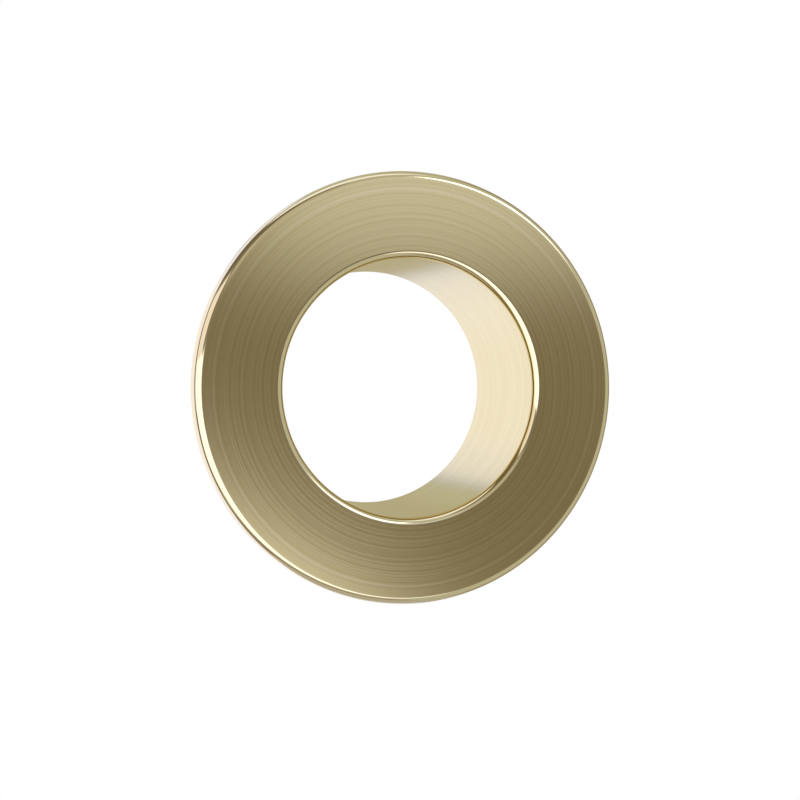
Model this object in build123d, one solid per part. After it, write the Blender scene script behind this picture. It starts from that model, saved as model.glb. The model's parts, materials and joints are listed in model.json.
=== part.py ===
"""Basin overflow cover: a turned brass ring that pushes into a basin's overflow hole, held by an O-ring.

Frame: Y is the bore axis. The seat, where the flange meets the basin, is the plane Y = 0.
The visible face looks along -Y, the sleeve runs along +Y into the basin, and Z is up.
"""

import os

from build123d import *

# Driving dimensions, in millimetres. Radii grow outwards from the bore, and depths run back from the seat.
BORE_DIAMETER = 18.0  # way for the overflowing water
GROOVE_FLOOR_WALL = 0.8  # brass left between the bore and the floor of the O-ring's groove
GROOVE_DEPTH = 0.9  # floor of the groove to the outside of the sleeve
SEAT_WIDTH = 4.3  # how far the flange reaches past the sleeve, which makes it 30 mm across

FLANGE_THICKNESS = 1.8  # visible face to seat
FRONT_LAND = 3.7  # sleeve between the seat and the groove
TAIL_LAND = 3.9  # sleeve between the groove and the lead-in
LEAD_IN = 0.8  # 45 degree chamfer that starts the sleeve in the hole

RIM_ROUND = 0.5  # front edge of the flange
LIP_ROUND = 0.4  # front edge of the bore
EDGE_BREAK = 0.12  # small chamfer on every other outside corner

O_RING_SECTION = 1.6  # thickness of the rubber cord
O_RING_SEAT_GAP = 0.02  # play between the O-ring and the floor of its groove
GROOVE_SIDE_GAP = 0.25  # room for the squeezed rubber on each side of the O-ring

# Radii that follow
bore_radius = BORE_DIAMETER / 2
groove_radius = bore_radius + GROOVE_FLOOR_WALL
sleeve_radius = groove_radius + GROOVE_DEPTH
rim_radius = sleeve_radius + SEAT_WIDTH
o_ring_radius = groove_radius + O_RING_SEAT_GAP + O_RING_SECTION / 2

# Depths that follow
face_depth = -FLANGE_THICKNESS
groove_start = FRONT_LAND
groove_end = groove_start + O_RING_SECTION + 2 * GROOVE_SIDE_GAP
lead_in_start = groove_end + TAIL_LAND
tail_depth = lead_in_start + LEAD_IN
o_ring_depth = (groove_start + groove_end) / 2


def ring_section():
    """Half section of the ring. X is the radius and Y the depth, followed from the bore out and back round."""
    with BuildSketch() as section:
        with BuildLine():
            lip = JernArc((bore_radius, face_depth + LIP_ROUND), (0, -1), LIP_ROUND, 90)
            face = Line(lip @ 1, (rim_radius - RIM_ROUND, face_depth))
            rim = JernArc(face @ 1, (1, 0), RIM_ROUND, 90)
            Polyline(
                rim @ 1,
                (rim_radius, -EDGE_BREAK),
                (rim_radius - EDGE_BREAK, 0),
                (sleeve_radius, 0),
                (sleeve_radius, groove_start - EDGE_BREAK),
                (sleeve_radius - EDGE_BREAK, groove_start),
                (groove_radius, groove_start),
                (groove_radius, groove_end),
                (sleeve_radius - EDGE_BREAK, groove_end),
                (sleeve_radius, groove_end + EDGE_BREAK),
                (sleeve_radius, lead_in_start),
                (sleeve_radius - LEAD_IN, tail_depth),
                (bore_radius + EDGE_BREAK, tail_depth),
                (bore_radius, tail_depth - EDGE_BREAK),
                lip @ 0,
            )
        make_face()
    return section.sketch


def cover_ring():
    """Flange and sleeve, turned from one bar."""
    return revolve(ring_section(), Axis.Y)


def o_ring():
    """Rubber ring lying in the groove, standing proud of the sleeve."""
    cord = Pos(o_ring_radius, o_ring_depth) * Circle(O_RING_SECTION / 2)
    return revolve(cord, Axis.Y)


os.makedirs("parts", exist_ok=True)
export_step(cover_ring(), "parts/cover_ring.step")
export_step(o_ring(), "parts/o_ring.step")
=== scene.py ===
"""Dresses the basin overflow cover: a brushed brass ring with polished edges and its rubber O-ring.

Everything is in metres in the part's own frame. Y is the bore axis, the visible face looks along -Y
and Z is up.
"""

import json
import math

import bpy
import numpy as np
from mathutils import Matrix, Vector


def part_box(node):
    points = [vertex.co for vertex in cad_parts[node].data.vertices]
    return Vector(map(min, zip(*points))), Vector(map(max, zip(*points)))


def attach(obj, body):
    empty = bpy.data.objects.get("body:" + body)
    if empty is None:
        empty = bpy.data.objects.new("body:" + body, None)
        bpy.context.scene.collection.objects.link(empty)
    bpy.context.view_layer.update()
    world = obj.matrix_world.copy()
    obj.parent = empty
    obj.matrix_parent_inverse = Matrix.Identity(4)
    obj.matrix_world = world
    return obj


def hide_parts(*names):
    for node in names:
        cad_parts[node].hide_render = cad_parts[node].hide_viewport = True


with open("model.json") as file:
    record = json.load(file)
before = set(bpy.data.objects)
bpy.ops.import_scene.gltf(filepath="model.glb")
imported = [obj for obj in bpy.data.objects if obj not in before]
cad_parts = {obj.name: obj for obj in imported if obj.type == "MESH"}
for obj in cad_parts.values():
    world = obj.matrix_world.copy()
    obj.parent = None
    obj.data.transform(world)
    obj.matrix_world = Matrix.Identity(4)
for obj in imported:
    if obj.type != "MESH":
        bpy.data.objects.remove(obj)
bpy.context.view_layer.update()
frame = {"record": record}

bl_info = {
    "name": "Basin overflow cover",
    "version": (1, 0, 0),
    "blender": (4, 5, 0),
    "location": "View3D > Sidebar > Overflow cover",
    "description": "Builds the brushed brass cover ring, its O-ring and the studio round them",
    "category": "Object",
}

MM = 0.001
BODY = "root"

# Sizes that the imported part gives
MOUNTS = {mount["name"]: mount for mount in frame["record"]["mounts"]}
RING_LOW, RING_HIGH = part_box("cover_ring")
SEAL_LOW, SEAL_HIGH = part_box("o_ring")
RIM_RADIUS = RING_HIGH.x
FACE_DEPTH = RING_LOW.y
TAIL_DEPTH = RING_HIGH.y
BORE_RADIUS = MOUNTS["overflow_bore"]["dims"]["r_mm"] * MM
SLEEVE_RADIUS = MOUNTS["spigot"]["dims"]["r_mm"] * MM
TAIL_LAND_MIDDLE = MOUNTS["spigot"]["pos_m"][1]
TAIL_LAND_HALF = MOUNTS["spigot"]["dims"]["length_mm"] * MM / 2
SEAL_RADIUS = (SEAL_HIGH.y - SEAL_LOW.y) / 2
SEAL_MIDDLE = (SEAL_HIGH.y + SEAL_LOW.y) / 2


def linear(hex_colour):
    """Linear red, green and blue of an sRGB hex colour."""
    srgb = np.array([int(hex_colour[i : i + 2], 16) for i in (0, 2, 4)]) / 255
    return tuple(np.where(srgb <= 0.04045, srgb / 12.92, ((srgb + 0.055) / 1.055) ** 2.4).tolist())


def length(name, description, default):
    """A length property in metres."""
    return bpy.props.FloatProperty(
        name=name, description=description, default=default, unit="LENGTH", subtype="DISTANCE", precision=5
    )


def colour(name, description, hex_colour):
    """A colour property whose default is an sRGB hex value."""
    return bpy.props.FloatVectorProperty(
        name=name, description=description, default=linear(hex_colour), subtype="COLOR", min=0, max=1
    )


def level(name, description, default):
    """A brightness property, where 1 is white."""
    return bpy.props.FloatProperty(name=name, description=description, default=default, min=0)


def angle(name, description, degrees):
    """An angle property whose default is given in degrees."""
    return bpy.props.FloatProperty(
        name=name, description=description, default=math.radians(degrees), unit="ROTATION", subtype="ANGLE"
    )


class RingSizes(bpy.types.PropertyGroup):
    """Sizes of the ring and the O-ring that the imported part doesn't state."""

    rim_round: length("Rim round", "Width of the flange's rounded front edge", 0.5 * MM)
    lip_round: length("Lip round", "Radius of the bore's rounded front edge", 0.48 * MM)
    crease: angle("Rim crease", "Turn between the flat face and the start of the rounded rim", 6)
    edge_break: length("Edge break", "Small chamfer on the other outside corners", 0.12 * MM)
    groove_depth: length("Groove depth", "Depth of the O-ring's groove", 0.9 * MM)
    groove_width: length("Groove width", "Width of the O-ring's groove", 2.1 * MM)
    flash_height: length("Flash height", "Height of the O-ring's parting line", 0.02 * MM)


class BrassFinish(bpy.types.PropertyGroup):
    """Colours and brush lines of the cover."""

    brass: colour("Brass", "Colour of the clean brass", "EBDFB3")
    band: colour("Brass band", "Colour of the slightly deeper bands", "E7DBAC")
    brushed_deep: colour("Deep brush line", "Colour of the deeper brush lines on the face", "E4D7A7")
    brushed_clean: colour("Clean brush line", "Colour of the cleaner brush lines on the face", "EEE2B9")
    scored: colour("Scored brass", "Colour of the one clear line on the face", "F4E9C4")
    edge: colour("Edge brass", "Colour of the buffed edges", "ECE3C8")
    edge_band: colour("Edge band", "Colour of the slightly deeper bands on the edges", "E8DDBE")
    # Painted shade: colour of the thin darker line round the lip where it turns into the bore, standing in
    # for the shade there
    lip_painted_shade: colour("Lip shade", "Colour of the thin line that the buff leaves inside the lip", "D3BF87")
    rubber: colour("Rubber", "Colour of the O-ring", "1B1B1C")
    band_width: length("Band width", "Width of one soft band of colour", 0.2 * MM)
    bore_band_width: length("Bore band width", "Width of one soft band of colour inside the bore", 0.5 * MM)
    brush_width: length("Brush line width", "Width of one visible brush line", 0.1 * MM)
    turned_width: length("Turned line width", "Spacing of the tool marks behind the seat", 0.18 * MM)
    scored_radius: length("Scored line radius", "Radius of the one clear line on the face", 13.74 * MM)
    scored_width: length("Scored line width", "Half width of that line", 0.13 * MM)
    painted_shade_reach: length("Lip shade reach", "How far the thin line runs up the lip from the bore", 0.3 * MM)
    painted_shade_fade: length("Lip shade fade", "Over what length the thin line fades out", 0.136 * MM)


class Studio(bpy.types.PropertyGroup):
    """Camera, surroundings and floor."""

    distance: length("Camera distance", "From the face's centre to the camera", 88.56 * MM)
    azimuth: angle("Camera azimuth", "Turn of the camera round the upright axis", -16.45)
    elevation: angle("Camera elevation", "Height of the camera above the bore axis", 0.4)
    aim_x: length("Aim across", "Where the camera aims, right of the face's centre", -0.89 * MM)
    aim_z: length("Aim up", "Where the camera aims, above the face's centre", -0.815 * MM)
    lens: bpy.props.FloatProperty(
        name="Lens", description="Focal length in millimetres", default=57.76, min=1
    )
    floor_drop: length("Floor drop", "How far the floor lies below the bore axis", 130 * MM)
    floor_radius: length("Floor radius", "Radius of the round floor", 75 * MM)
    key_level: level("Key level", "Brightness of the small panel at the upper right", 2.8)
    fill_level: level("Fill level", "Brightness of the large panel at the lower left", 1.48)
    side_level: level("Side level", "Brightness of the pale panel at the upper left", 1.08)
    backlight_level: level("Backlight level", "Brightness of the panel behind the ring", 1.15)
    room_level: level("Room level", "Brightness of the dark side of the room", 0.27)
    gap_level: level("Gap level", "Brightness of the dark gap between the panels", 0.21)
    wall_grey: colour("Studio walls", "Colour of the studio walls", "C6C4AE")
    dark_card: colour("Dark card", "Tint of the dark side of the room", "FFEBC8")
    warm_wall: colour("Warm wall", "Tint of the wall behind the ring", "FFF5CF")
    panel_pink: colour("Pale side panel", "Colour of the pale panel at the upper left", "FFF4EA")
    panel_cool: colour("Cool fringe", "Tint of the cool fringe along the backlight", "DDE4FF")
    backlight: colour("Backlight", "Tint of the white panel behind the ring", "F7F5FF")
    panel_white: colour("Panels", "Colour of the lit panels", "FFFFFF")
    floor: colour("Floor", "Colour of the floor", "E6E6E4")


def add_node(tree, kind, inputs=None, **settings):
    """Adds a node, gives it its settings, and sets or links each input by name or number."""
    node = tree.nodes.new(kind)
    for name, value in settings.items():
        setattr(node, name, value)
    for key, value in (inputs or {}).items():
        if isinstance(value, bpy.types.NodeSocket):
            tree.links.new(value, node.inputs[key])
        else:
            node.inputs[key].default_value = value
    return node


def new_material(name):
    """An empty material with its output node and a shader linked to it."""
    material = bpy.data.materials.new(name)
    material.use_nodes = True
    tree = material.node_tree
    tree.nodes.clear()
    shader = add_node(tree, "ShaderNodeBsdfPrincipled")
    add_node(tree, "ShaderNodeOutputMaterial", {"Surface": shader.outputs["BSDF"]})
    return material, tree, shader


def rgba(rgb):
    """A colour with full alpha."""
    return (*rgb, 1.0)


def lathe_lines(tree, line_width, section_length, sweep):
    """Smooth noise drawn out along the circles of a turned surface, about 0.5 on average.

    The place along the section, in line widths, runs up one axis of the noise. The direction round the
    bore axis is a circle in the other two, so the lines close on themselves. A larger sweep breaks them
    into shorter arcs.
    """
    along = add_node(tree, "ShaderNodeUVMap", uv_map="section")
    along = add_node(tree, "ShaderNodeSeparateXYZ", {0: along.outputs["UV"]})
    lines = section_length / line_width
    steps = add_node(tree, "ShaderNodeMath", {0: along.outputs["X"], 1: lines}, operation="MULTIPLY")
    up = add_node(tree, "ShaderNodeCombineXYZ", {"Y": steps.outputs[0]})
    spot = add_node(tree, "ShaderNodeTexCoord")
    flat = add_node(
        tree, "ShaderNodeVectorMath", {0: spot.outputs["Object"], 1: (1, 0, 1)}, operation="MULTIPLY"
    )
    unit = add_node(tree, "ShaderNodeVectorMath", {0: flat.outputs[0]}, operation="NORMALIZE")
    around = add_node(
        tree, "ShaderNodeVectorMath", {0: unit.outputs[0], 1: (sweep, sweep, sweep)}, operation="MULTIPLY"
    )
    where = add_node(
        tree, "ShaderNodeVectorMath", {0: around.outputs[0], 1: up.outputs[0]}, operation="ADD"
    )
    noise = add_node(tree, "ShaderNodeTexNoise", {"Vector": where.outputs[0], "Scale": 1.0, "Detail": 0.0})
    return noise.outputs["Fac"]


def brass_shader(tree, shader, colours, bands, lines, roughness, depth, anisotropy):
    """Brass with soft bands of colour, and lines that vary its roughness and height.

    The tangent runs along the section, so reflections are drawn out across the lines. The function gives
    back the node that mixes the two colours.
    """
    band = add_node(tree, "ShaderNodeMapRange", {"Value": bands, "From Min": 0.3, "From Max": 0.7})
    tint = add_node(
        tree,
        "ShaderNodeMix",
        {"Factor": band.outputs["Result"], "A": rgba(colours[0]), "B": rgba(colours[1])},
        data_type="RGBA",
    )
    rough = add_node(
        tree,
        "ShaderNodeMapRange",
        {"Value": lines, "From Min": 0.3, "From Max": 0.75, "To Min": roughness[0], "To Max": roughness[1]},
    )
    bump = add_node(tree, "ShaderNodeBump", {"Height": lines, "Distance": depth, "Strength": 1.0})
    tangent = add_node(tree, "ShaderNodeTangent", direction_type="UV_MAP", uv_map="section")
    tree.links.new(tint.outputs["Result"], shader.inputs["Base Color"])
    tree.links.new(rough.outputs["Result"], shader.inputs["Roughness"])
    tree.links.new(bump.outputs["Normal"], shader.inputs["Normal"])
    tree.links.new(tangent.outputs["Tangent"], shader.inputs["Tangent"])
    shader.inputs["Metallic"].default_value = 1.0
    shader.inputs["Anisotropic"].default_value = anisotropy
    return tint


def brushed_brass(finish, section_length):
    """Brass brushed in circles: long fine lines, and reflections drawn out across them into broad fans.

    Real brush lines are finer than the picture can show, so these are drawn as coarse as they need to be.
    One line, scored a little deeper than the rest, shows all the way round.
    """
    material, tree, shader = new_material("circular_brushed_brass")
    bands = lathe_lines(tree, finish.band_width, section_length, sweep=0.04)
    lines = lathe_lines(tree, finish.brush_width, section_length, sweep=0.06)
    colours = (finish.brushed_deep, finish.brushed_clean)
    tint = brass_shader(
        tree, shader, colours, bands, lines, roughness=(0.122, 0.16), depth=0.0001 * MM, anisotropy=0.45
    )
    spot = add_node(tree, "ShaderNodeTexCoord")
    flat = add_node(
        tree, "ShaderNodeVectorMath", {0: spot.outputs["Object"], 1: (1, 0, 1)}, operation="MULTIPLY"
    )
    radius = add_node(tree, "ShaderNodeVectorMath", {0: flat.outputs[0]}, operation="LENGTH")
    off = add_node(
        tree, "ShaderNodeMath", {0: radius.outputs["Value"], 1: finish.scored_radius}, operation="SUBTRACT"
    )
    away = add_node(tree, "ShaderNodeMath", {0: off.outputs[0]}, operation="ABSOLUTE")
    scored = add_node(
        tree,
        "ShaderNodeMapRange",
        {"Value": away.outputs[0], "From Max": finish.scored_width, "To Min": 1.0, "To Max": 0.0},
        interpolation_type="SMOOTHSTEP",
    )
    line = add_node(
        tree,
        "ShaderNodeMix",
        {"Factor": scored.outputs["Result"], "A": tint.outputs["Result"], "B": rgba(finish.scored)},
        data_type="RGBA",
    )
    tree.links.new(line.outputs["Result"], shader.inputs["Base Color"])
    return material


def bore_brass(finish, section_length):
    """Brass drawn smooth inside the bore: faint, short lines and a soft reflection of what lies behind."""
    material, tree, shader = new_material("fine_brushed_bore_brass")
    bands = lathe_lines(tree, finish.bore_band_width, section_length, sweep=0.6)
    lines = lathe_lines(tree, finish.brush_width, section_length, sweep=2.5)
    colours = (finish.band, finish.brass)
    brass_shader(
        tree, shader, colours, bands, lines, roughness=(0.18, 0.2), depth=0.0001 * MM, anisotropy=0.6
    )
    return material


def polished_brass(finish, section_length):
    """Brass buffed on its rounded edges: clear, bright reflections with hardly a line left.

    A thin deeper line of painted shade is laid round the lip where it turns into the bore, in place of the
    shade that falls there. The section starts at that end of the lip, so the line is where the way along it
    is short.
    """
    material, tree, shader = new_material("buffed_brass_edges")
    bands = lathe_lines(tree, finish.band_width, section_length, sweep=0.3)
    lines = lathe_lines(tree, finish.brush_width, section_length, sweep=0.3)
    colours = (finish.edge_band, finish.edge)
    tint = brass_shader(
        tree, shader, colours, bands, lines, roughness=(0.06, 0.09), depth=0.00005 * MM, anisotropy=0.3
    )
    # Painted shade: near the bore the lip takes the darker lip colour, which fades out into the edge colour
    # further up the lip
    along = add_node(tree, "ShaderNodeUVMap", uv_map="section")
    along = add_node(tree, "ShaderNodeSeparateXYZ", {0: along.outputs["UV"]})
    reach = add_node(tree, "ShaderNodeMath", {0: along.outputs["X"], 1: section_length}, operation="MULTIPLY")
    fade_end = finish.painted_shade_reach + finish.painted_shade_fade
    # Mask that is 0 along the painted shade line by the bore and 1 on the rest of the edges
    buffed = add_node(
        tree,
        "ShaderNodeMapRange",
        {"Value": reach.outputs[0], "From Min": finish.painted_shade_reach, "From Max": fade_end},
        interpolation_type="SMOOTHSTEP",
    )
    tint_with_painted_shade = add_node(
        tree,
        "ShaderNodeMix",
        {"Factor": buffed.outputs["Result"], "A": rgba(finish.lip_painted_shade), "B": tint.outputs["Result"]},
        data_type="RGBA",
    )
    tree.links.new(tint_with_painted_shade.outputs["Result"], shader.inputs["Base Color"])
    return material


def turned_brass(finish, section_length):
    """Brass as the lathe leaves it behind the seat: even tool marks and a duller shine."""
    material, tree, shader = new_material("lathe_turned_brass")
    bands = lathe_lines(tree, finish.band_width, section_length, sweep=0.2)
    lines = lathe_lines(tree, finish.turned_width, section_length, sweep=0.2)
    colours = (finish.band, finish.brass)
    brass_shader(
        tree, shader, colours, bands, lines, roughness=(0.26, 0.36), depth=0.002 * MM, anisotropy=0.6
    )
    return material


def moulded_rubber(finish):
    """Moulded black rubber: a soft matte skin with a faint mottle and no clear reflection."""
    material, tree, shader = new_material("moulded_black_rubber")
    grain = 0.25 * MM
    spot = add_node(tree, "ShaderNodeTexCoord")
    mottle = add_node(
        tree, "ShaderNodeTexNoise", {"Vector": spot.outputs["Object"], "Scale": 1 / grain, "Detail": 4.0}
    )
    rough = add_node(
        tree, "ShaderNodeMapRange", {"Value": mottle.outputs["Fac"], "To Min": 0.45, "To Max": 0.7}
    )
    bump = add_node(tree, "ShaderNodeBump", {"Height": mottle.outputs["Fac"], "Distance": 0.01 * MM})
    tree.links.new(rough.outputs["Result"], shader.inputs["Roughness"])
    tree.links.new(bump.outputs["Normal"], shader.inputs["Normal"])
    shader.inputs["Base Color"].default_value = rgba(finish.rubber)
    shader.inputs["IOR"].default_value = 1.52
    return material


# Finishes of the ring, in the order of its materials
BRUSHED, BORE, POLISHED, TURNED = range(4)


def straight(start, end, steps):
    """Points on a straight stretch of a section, without its last: the start plus equal shares of the way."""
    share = np.linspace(0, 1, steps, endpoint=False)[:, None]
    return np.array(start) + share * (np.array(end) - np.array(start))


def rounded(centre, radius, first, last, steps):
    """Points on a round stretch of a section, without its last one: the centre plus a turning radius."""
    turn = np.radians(np.linspace(first, last, steps, endpoint=False))[:, None]
    return np.array(centre) + radius * np.hstack([np.cos(turn), np.sin(turn)])


def ring_section(sizes):
    """Closed outline of the ring's half section as (radius, depth) points, and the finish of each stretch.

    It runs from the bore over the lip, the face and the rim, and back along the seat, the sleeve and the
    bore. The rim is an arc that starts at the crease and ends square to the flange's side.
    """
    lip, rim, chip = sizes.lip_round, sizes.rim_round, sizes.edge_break
    lip_depth = FACE_DEPTH + lip
    face_start, face_end = BORE_RADIUS + lip, RIM_RADIUS - rim
    crease = math.degrees(sizes.crease)
    rim_radius = rim / (1 - math.sin(sizes.crease))
    rim_depth = FACE_DEPTH + rim_radius * math.cos(sizes.crease)
    groove_radius = SLEEVE_RADIUS - sizes.groove_depth
    groove_start = SEAL_MIDDLE - sizes.groove_width / 2
    groove_end = SEAL_MIDDLE + sizes.groove_width / 2
    lead_in_start = TAIL_LAND_MIDDLE + TAIL_LAND_HALF
    lead_in = TAIL_DEPTH - lead_in_start
    margin = 0.01 * MM  # narrow first strip, so that smooth shading leaves the rest of the face flat
    face_steps, round_steps = 24, 36
    rim_centre = (RIM_RADIUS - rim_radius, rim_depth)
    stretches = [
        (POLISHED, rounded((face_start, lip_depth), lip, 180, 270, round_steps)),
        (BRUSHED, straight((face_start, FACE_DEPTH), (face_start + margin, FACE_DEPTH), 1)),
        (BRUSHED, straight((face_start + margin, FACE_DEPTH), (face_end, FACE_DEPTH), face_steps)),
        (POLISHED, rounded(rim_centre, rim_radius, 270 + crease, 360, round_steps)),
    ]
    # Finish, start and number of steps of each straight stretch that follows
    corners = [
        (BRUSHED, (RIM_RADIUS, rim_depth), 5),
        (TURNED, (RIM_RADIUS, -chip), 2),
        (TURNED, (RIM_RADIUS - chip, 0), 10),
        (TURNED, (SLEEVE_RADIUS, 0), 8),
        (TURNED, (SLEEVE_RADIUS, groove_start - chip), 2),
        (TURNED, (SLEEVE_RADIUS - chip, groove_start), 3),
        (TURNED, (groove_radius, groove_start), 4),
        (TURNED, (groove_radius, groove_end), 3),
        (TURNED, (SLEEVE_RADIUS - chip, groove_end), 2),
        (TURNED, (SLEEVE_RADIUS, groove_end + chip), 8),
        (TURNED, (SLEEVE_RADIUS, lead_in_start), 4),
        (TURNED, (SLEEVE_RADIUS - lead_in, TAIL_DEPTH), 3),
        (TURNED, (BORE_RADIUS + chip, TAIL_DEPTH), 2),
        (BORE, (BORE_RADIUS, TAIL_DEPTH - chip), 24),
    ]
    ends = [corner[1] for corner in corners[1:]] + [(BORE_RADIUS, lip_depth)]
    stretches += [(kind, straight(start, end, steps)) for (kind, start, steps), end in zip(corners, ends)]
    points = np.vstack([stretch for kind, stretch in stretches])
    kinds = np.concatenate([np.full(len(stretch), kind) for kind, stretch in stretches])
    return points, kinds


def lathe_mesh(name, section, columns):
    """Closed mesh of a section turned round the bore axis, with a map of its own.

    A point at radius r and depth y, turned by t, lies at (r cos t, y, r sin t). The map's first axis is the
    share of the way along the section and its second the share of the turn. Rows and columns both close on
    themselves. The function also gives the section's length.
    """
    rows = len(section)
    turn = np.linspace(0, 2 * np.pi, columns, endpoint=False)
    radius, depth = section[:, :1], section[:, 1:]
    points = np.stack(
        [radius * np.cos(turn), np.broadcast_to(depth, (rows, columns)), radius * np.sin(turn)], axis=-1
    )
    row, column = np.meshgrid(np.arange(rows), np.arange(columns), indexing="ij")
    next_row, next_column = (row + 1) % rows, (column + 1) % columns
    corners = [(row, column), (row, next_column), (next_row, next_column), (next_row, column)]
    faces = np.stack([a * columns + b for a, b in corners], axis=-1).reshape(-1, 4)
    mesh = bpy.data.meshes.new(name)
    mesh.vertices.add(rows * columns)
    mesh.vertices.foreach_set("co", points.astype(np.float32).ravel())
    mesh.loops.add(faces.size)
    mesh.loops.foreach_set("vertex_index", faces.astype(np.int32).ravel())
    mesh.polygons.add(len(faces))
    mesh.polygons.foreach_set("loop_start", np.arange(0, faces.size, 4, dtype=np.int32))
    mesh.update(calc_edges=True)
    step = np.linalg.norm(np.roll(section, -1, axis=0) - section, axis=1)
    along = np.concatenate([[0], np.cumsum(step)]) / step.sum()
    share = np.stack(
        [
            np.stack([along[row], along[row], along[row + 1], along[row + 1]], axis=-1),
            np.stack([column, column + 1, column + 1, column], axis=-1) / columns,
        ],
        axis=-1,
    )
    layer = mesh.uv_layers.new(name="section")
    layer.uv.foreach_set("vector", share.astype(np.float32).ravel())
    return mesh, float(step.sum())


def place(mesh, name, node):
    """Puts a finished mesh into the scene, in the place of its CAD node."""
    piece = bpy.data.objects.new(name, mesh)
    bpy.context.scene.collection.objects.link(piece)
    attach(piece, BODY)
    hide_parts(node)
    return piece


class OVERFLOW_OT_cover_ring(bpy.types.Operator):
    """Turn the brass ring and give each stretch of its section its finish"""

    bl_idname = "overflow.cover_ring"
    bl_label = "Cover ring"

    def execute(self, context):
        columns = 384
        sharp_angle = math.radians(4)  # edges that turn more than this stay crisp
        section, kinds = ring_section(context.scene.overflow_ring)
        mesh, section_length = lathe_mesh("cover_ring_turned", section, columns)
        finish = context.scene.overflow_finish
        for make in (brushed_brass, bore_brass, polished_brass, turned_brass):
            mesh.materials.append(make(finish, section_length))
        mesh.polygons.foreach_set("material_index", np.repeat(kinds, columns).astype(np.int32))
        mesh.shade_smooth()
        mesh.set_sharp_from_angle(angle=sharp_angle)
        place(mesh, "cover_ring_turned", "cover_ring")
        return {"FINISHED"}


class OVERFLOW_OT_o_ring(bpy.types.Operator):
    """Mould the O-ring in its groove, with a faint parting line round the outside and the inside"""

    bl_idname = "overflow.o_ring"
    bl_label = "O-ring"

    def execute(self, context):
        rows, columns = 72, 240
        flash_angle = 0.09  # half width of the parting line, in radians
        flash = context.scene.overflow_ring.flash_height
        turn = np.linspace(0, 2 * np.pi, rows, endpoint=False)
        ridge = np.exp(-((np.sin(turn) / flash_angle) ** 2))
        reach = SEAL_RADIUS - flash + flash * ridge
        middle = SEAL_HIGH.x - SEAL_RADIUS
        section = np.stack([middle + reach * np.cos(turn), SEAL_MIDDLE + reach * np.sin(turn)], axis=1)
        mesh, _ = lathe_mesh("o_ring_moulded", section, columns)
        mesh.materials.append(moulded_rubber(context.scene.overflow_finish))
        mesh.shade_smooth()
        place(mesh, "o_ring_moulded", "o_ring")
        return {"FINISHED"}


def direction(azimuth, elevation):
    """Unit vector from the ring: azimuth 0 is straight out of the face and 90 to its right, in degrees."""
    a, e = math.radians(azimuth), math.radians(elevation)
    return Vector((math.sin(a) * math.cos(e), -math.cos(a) * math.cos(e), math.sin(e)))


def panel(tree, way, corners, soft):
    """1 where a ray meets a flat panel, given by its corners as azimuth and elevation, and 0 elsewhere.

    A straight side of a panel is the great circle through its two corners. The ray's height over that
    circle's plane, smoothed over soft degrees, is the mask of that side, and the panel is the product of
    its sides. The corners make a convex outline.
    """
    spots = [direction(*corner) for corner in corners]
    centre = sum(spots, Vector())
    half = math.sin(math.radians(soft / 2))
    mask = 1.0
    for here, there in zip(spots, spots[1:] + spots[:1]):
        side = here.cross(there).normalized()
        if side.dot(centre) < 0:
            side.negate()
        height = add_node(tree, "ShaderNodeVectorMath", {0: way, 1: side}, operation="DOT_PRODUCT")
        edge = add_node(
            tree,
            "ShaderNodeMapRange",
            {"Value": height.outputs["Value"], "From Min": -half, "From Max": half},
            interpolation_type="SMOOTHSTEP",
        )
        both = add_node(tree, "ShaderNodeMath", {0: edge.outputs["Result"], 1: mask}, operation="MULTIPLY")
        mask = both.outputs[0]
    return mask


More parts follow.
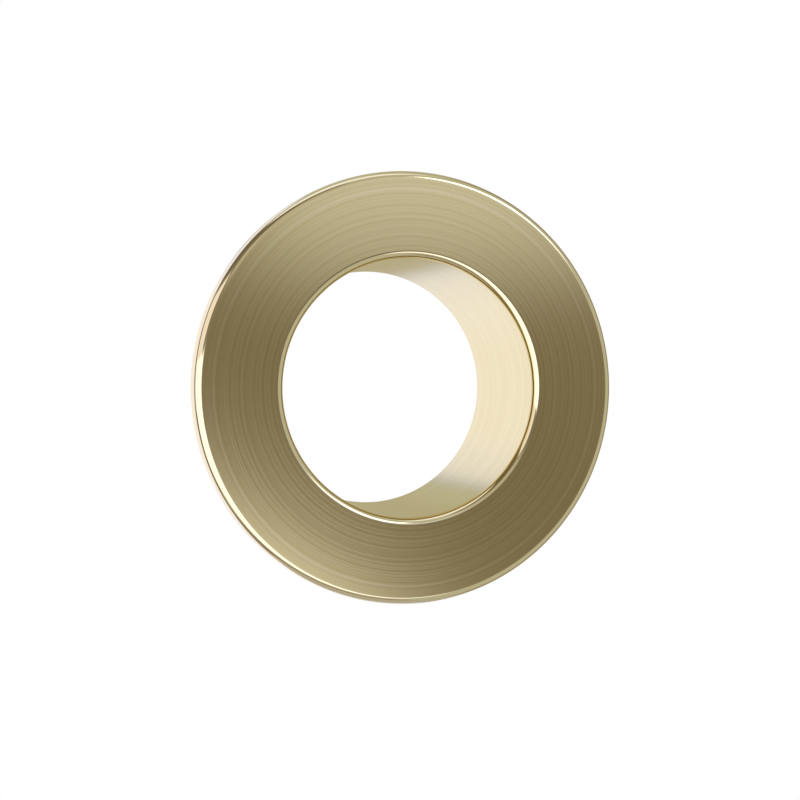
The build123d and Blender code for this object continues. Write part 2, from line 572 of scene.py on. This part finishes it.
def studio_panels(studio):
    """Flat panels round the ring, where a later one covers an earlier one.

    Each has its corners as azimuth and elevation, its tint, its brightness and the softness of its sides,
    with all angles in degrees.
    """
    white, warm, dark = studio.panel_white, studio.warm_wall, studio.dark_card
    return (
        # Warm wall behind, to the right
        (((130, -70), (170, -70), (172, 0), (170, 70), (130, 70)), warm, 0.52, 12),
        # Dark belt at the right, which outlines the rim and the lip
        (((98, -60), (126, -60), (126, 60), (98, 60)), dark, 0.26, 8),
        # Backlight that the bore shows: a cool fringe, a dimmer side and the bright rest
        (((-117, -62), (-117, 62), (-154, 60), (140, -60)), studio.panel_cool, 0.7, 5),
        (((-117, -62), (-117, 62), (-151, 60), (141, -60)), studio.backlight, 1.02, 6),
        (((-117, -62), (-117, 62), (-139, 60), (152, -60)), studio.backlight, studio.backlight_level, 18),
        # Warmer patch of the backlight, which keeps the left side of the flange cream
        (((-166, -10), (-166, 10), (-179, 10), (170, -10)), studio.panel_pink, 1.07, 6),
        # Dark belt at the left, which outlines the rim and the lip
        (((-90, -66), (-90, 66), (-115, 66), (-115, -66)), dark, 0.18, 8),
        # Shade below the lower left panel
        (
            ((-100, -38), (-75, -43), (-45, -46), (-15, -46), (20, -44), (30, -56), (-36, -80), (-100, -64)),
            dark,
            0.34,
            6,
        ),
        # Dark side of the room above the camera, and its darkest part
        (((8, 3), (-4, 32), (-20, 58), (-92, 58), (-92, 8), (-20, 3)), dark, studio.room_level, 8),
        (((4, 40), (2, 54), (-92, 52), (-92, 36), (-60, 38), (-26, 39)), dark, 0.19, 6),
        # Dark gap between the panels, straight in front of the face
        (((-12, 8), (31, 9), (31, -12), (16, -14), (-12, -14)), dark, studio.gap_level, 5),
        # Key panel at the upper right: its glow on the wall, its dimmer lower part and the panel itself
        (((-2, 9), (17, 6), (46, 8), (46, 40), (-30, 33), (-27, 24)), warm, 0.56, 6),
        (((9, 5), (43, 6), (43, 25), (9, 25)), white, 0.72, 7),
        (((20, 19), (48, 18), (48, 36), (20, 34)), white, studio.key_level, 4),
        # Pale panel at the upper left
        (
            ((-97, 30), (-40, 31), (-31, 22), (-34, 6), (-60, -8), (-97, -8)),
            studio.panel_pink,
            studio.side_level,
            4,
        ),
        # Large panel at the lower left
        (
            ((-86, 9), (-48, 8.5), (-10, 5), (20, -14.5), (24, -28), (12, -44), (-40, -46), (-86, -36)),
            white,
            studio.fill_level,
            2.5,
        ),
        # Panel overhead
        (((-90, 58), (-50, 58), (-15, 58), (20, 58), (48, 58), (48, 82), (-90, 82)), white, 1.1, 4),
    )


def surroundings(studio):
    """Studio of warm grey walls with flat panels in it. The camera sees plain white, at a strength of 1."""
    world = bpy.data.worlds.new("studio")
    world.use_nodes = True
    tree = world.node_tree
    tree.nodes.clear()
    way = add_node(tree, "ShaderNodeTexCoord").outputs["Generated"]
    room = rgba(studio.wall_grey)
    for corners, tint, brightness, soft in studio_panels(studio):
        mask = panel(tree, way, corners, soft)
        shade = rgba([part * brightness for part in tint])
        layer = add_node(tree, "ShaderNodeMix", {"Factor": mask, "A": room, "B": shade}, data_type="RGBA")
        room = layer.outputs["Result"]
    seen = add_node(tree, "ShaderNodeLightPath")
    shown = add_node(
        tree,
        "ShaderNodeMix",
        {"Factor": seen.outputs["Is Camera Ray"], "A": room, "B": (1, 1, 1, 1)},
        data_type="RGBA",
    )
    glow = add_node(tree, "ShaderNodeBackground", {"Color": shown.outputs["Result"], "Strength": 1.0})
    add_node(tree, "ShaderNodeOutputWorld", {"Surface": glow.outputs["Background"]})
    bpy.context.scene.world = world


def floor_material(studio):
    """Matt pale card that keeps the object's shadow, topped up towards white for the camera."""
    camera_glow = 0.6  # light that only the camera sees
    material, tree, shader = new_material("matt_white_card")
    shader.inputs["Base Color"].default_value = rgba(studio.floor)
    shader.inputs["Roughness"].default_value = 0.9
    shader.inputs["Emission Color"].default_value = (1, 1, 1, 1)
    seen = add_node(tree, "ShaderNodeLightPath")
    top_up = add_node(
        tree, "ShaderNodeMath", {0: seen.outputs["Is Camera Ray"], 1: camera_glow}, operation="MULTIPLY"
    )
    tree.links.new(top_up.outputs[0], shader.inputs["Emission Strength"])
    return material


def floor_mesh(radius, height):
    """Round flat floor: rings of growing radius at one height, and one face that closes the smallest ring."""
    columns, rings = 96, 12
    smallest = 0.002  # share of the radius
    reach = radius * np.linspace(smallest, 1, rings)[:, None]
    turn = np.linspace(0, 2 * np.pi, columns, endpoint=False)
    flat = np.full((rings, columns), height)
    points = np.stack([reach * np.cos(turn), reach * np.sin(turn), flat], axis=-1).reshape(-1, 3)
    row, column = np.meshgrid(np.arange(rings - 1), np.arange(columns), indexing="ij")
    next_column = (column + 1) % columns
    corners = [(row, column), (row + 1, column), (row + 1, next_column), (row, next_column)]
    faces = np.stack([a * columns + b for a, b in corners], axis=-1).reshape(-1, 4)
    mesh = bpy.data.meshes.new("floor")
    mesh.from_pydata(points.tolist(), [], faces.tolist() + [list(range(columns))])
    return mesh


def studio_camera(studio):
    """Camera at the photograph's angle."""
    lens = bpy.data.cameras.new("camera")
    lens.lens = studio.lens
    lens.sensor_width = 36.0
    lens.clip_start = 0.005
    camera = bpy.data.objects.new("camera", lens)
    bpy.context.scene.collection.objects.link(camera)
    face = Vector((0, FACE_DEPTH, 0))
    towards = direction(math.degrees(studio.azimuth), math.degrees(studio.elevation))
    camera.location = face + towards * studio.distance
    aim = face + Vector((studio.aim_x, 0, studio.aim_z))
    camera.rotation_mode = "QUATERNION"
    camera.rotation_quaternion = (aim - camera.location).to_track_quat("-Z", "Y")
    bpy.context.scene.camera = camera


class OVERFLOW_OT_stage(bpy.types.Operator):
    """Set up the surroundings, the floor and the camera"""

    bl_idname = "overflow.stage"
    bl_label = "Stage"

    def execute(self, context):
        studio = context.scene.overflow_studio
        context.scene.view_settings.view_transform = "Standard"
        surroundings(studio)
        mesh = floor_mesh(studio.floor_radius, -studio.floor_drop)
        mesh.materials.append(floor_material(studio))
        floor = bpy.data.objects.new("floor", mesh)
        context.scene.collection.objects.link(floor)
        studio_camera(studio)
        return {"FINISHED"}


class OVERFLOW_PT_cover(bpy.types.Panel):
    """Lists the pieces of the overflow cover and their settings"""

    bl_idname = "OVERFLOW_PT_cover"
    bl_label = "Overflow cover"
    bl_space_type = "VIEW_3D"
    bl_region_type = "UI"
    bl_category = "Overflow cover"

    def draw(self, context):
        scene = context.scene
        for group in (scene.overflow_ring, scene.overflow_finish, scene.overflow_studio):
            for name in group.__annotations__:
                self.layout.prop(group, name)
        for operator in OPERATORS:
            self.layout.operator(operator.bl_idname)


GROUPS = {"overflow_ring": RingSizes, "overflow_finish": BrassFinish, "overflow_studio": Studio}
OPERATORS = (OVERFLOW_OT_cover_ring, OVERFLOW_OT_o_ring, OVERFLOW_OT_stage)


def register():
    """Adds the settings, the operators and the panel."""
    for name, group in GROUPS.items():
        bpy.utils.register_class(group)
        setattr(bpy.types.Scene, name, bpy.props.PointerProperty(type=group))
    for cls in (*OPERATORS, OVERFLOW_PT_cover):
        bpy.utils.register_class(cls)


def unregister():
    """Takes the panel, the operators and the settings away again."""
    for cls in (OVERFLOW_PT_cover, *OPERATORS):
        bpy.utils.unregister_class(cls)
    for name, group in GROUPS.items():
        delattr(bpy.types.Scene, name)
        bpy.utils.unregister_class(group)


def main():
    """Builds the pieces and the stage."""
    register()
    bpy.ops.overflow.cover_ring()
    bpy.ops.overflow.o_ring()
    bpy.ops.overflow.stage()


if __name__ == "__main__":
    main()
